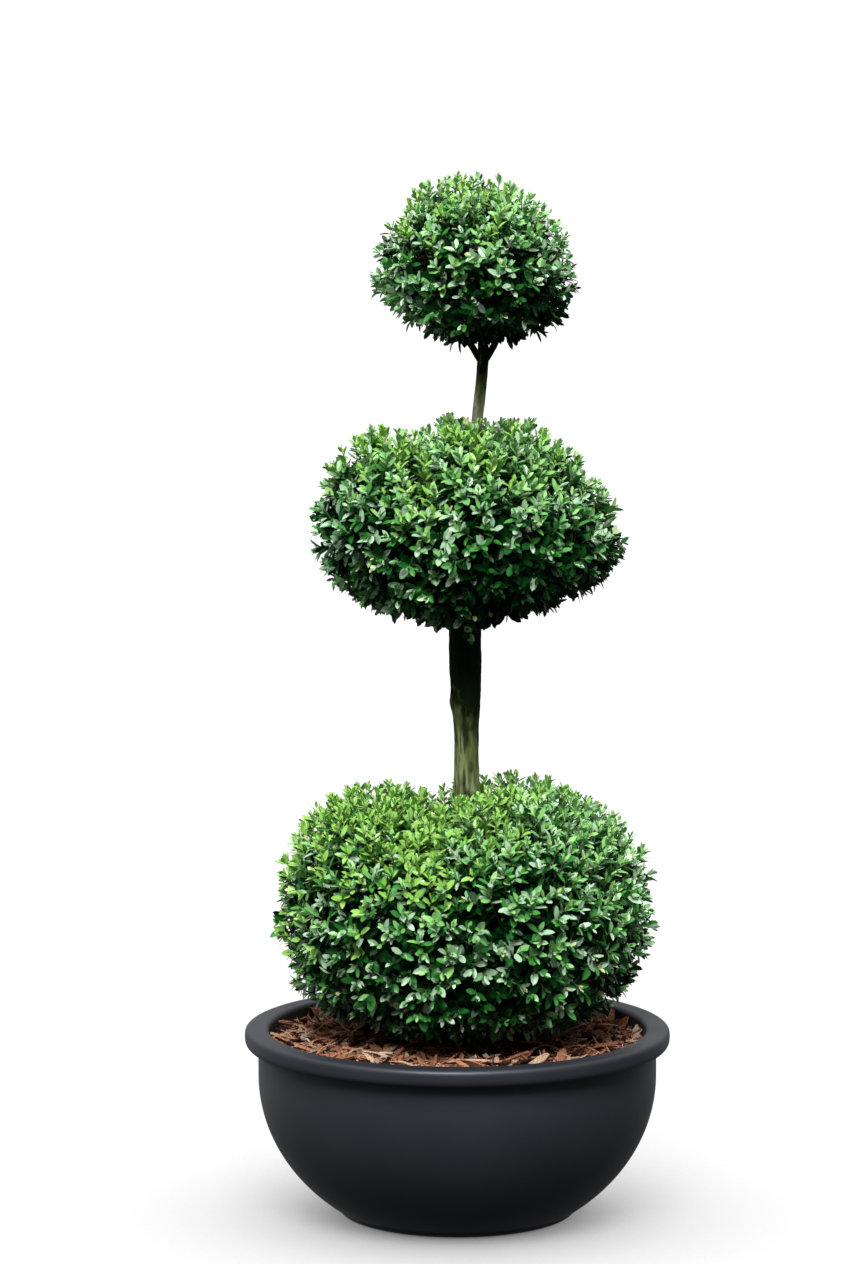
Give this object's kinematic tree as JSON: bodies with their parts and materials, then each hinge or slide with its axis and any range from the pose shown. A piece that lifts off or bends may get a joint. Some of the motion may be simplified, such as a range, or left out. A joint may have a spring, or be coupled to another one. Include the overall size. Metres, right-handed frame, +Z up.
{
  "type": "potted tiered boxwood topiary",
  "caption": "Round bowl planter with soil and bark mulch and a slender leaning trunk that carries clipped balls of small-leaved evergreen foliage in tiers, for standing on a terrace.",
  "frame": {"origin": "middle of the planter's flat underside, where it stands on the ground", "axes": "+Z up, +X to the right and -Y towards the viewer as pictured"},
  "size_m": [0.6, 0.6, 1.4707],
  "materials": {
    "planter": "satin",
    "soil": "matte",
    "mulch": "matte",
    "bark": "matte",
    "foliage": "satin"
  },
  "bodies": {
    "root": {"planter": "planter", "soil": "soil", "mulch": "mulch", "trunk": "bark", "bough_left": "bark", "bough_right": "bark", "foliage_low": "foliage", "foliage_middle": "foliage", "foliage_top": "foliage"}
  },
  "joints": []
}
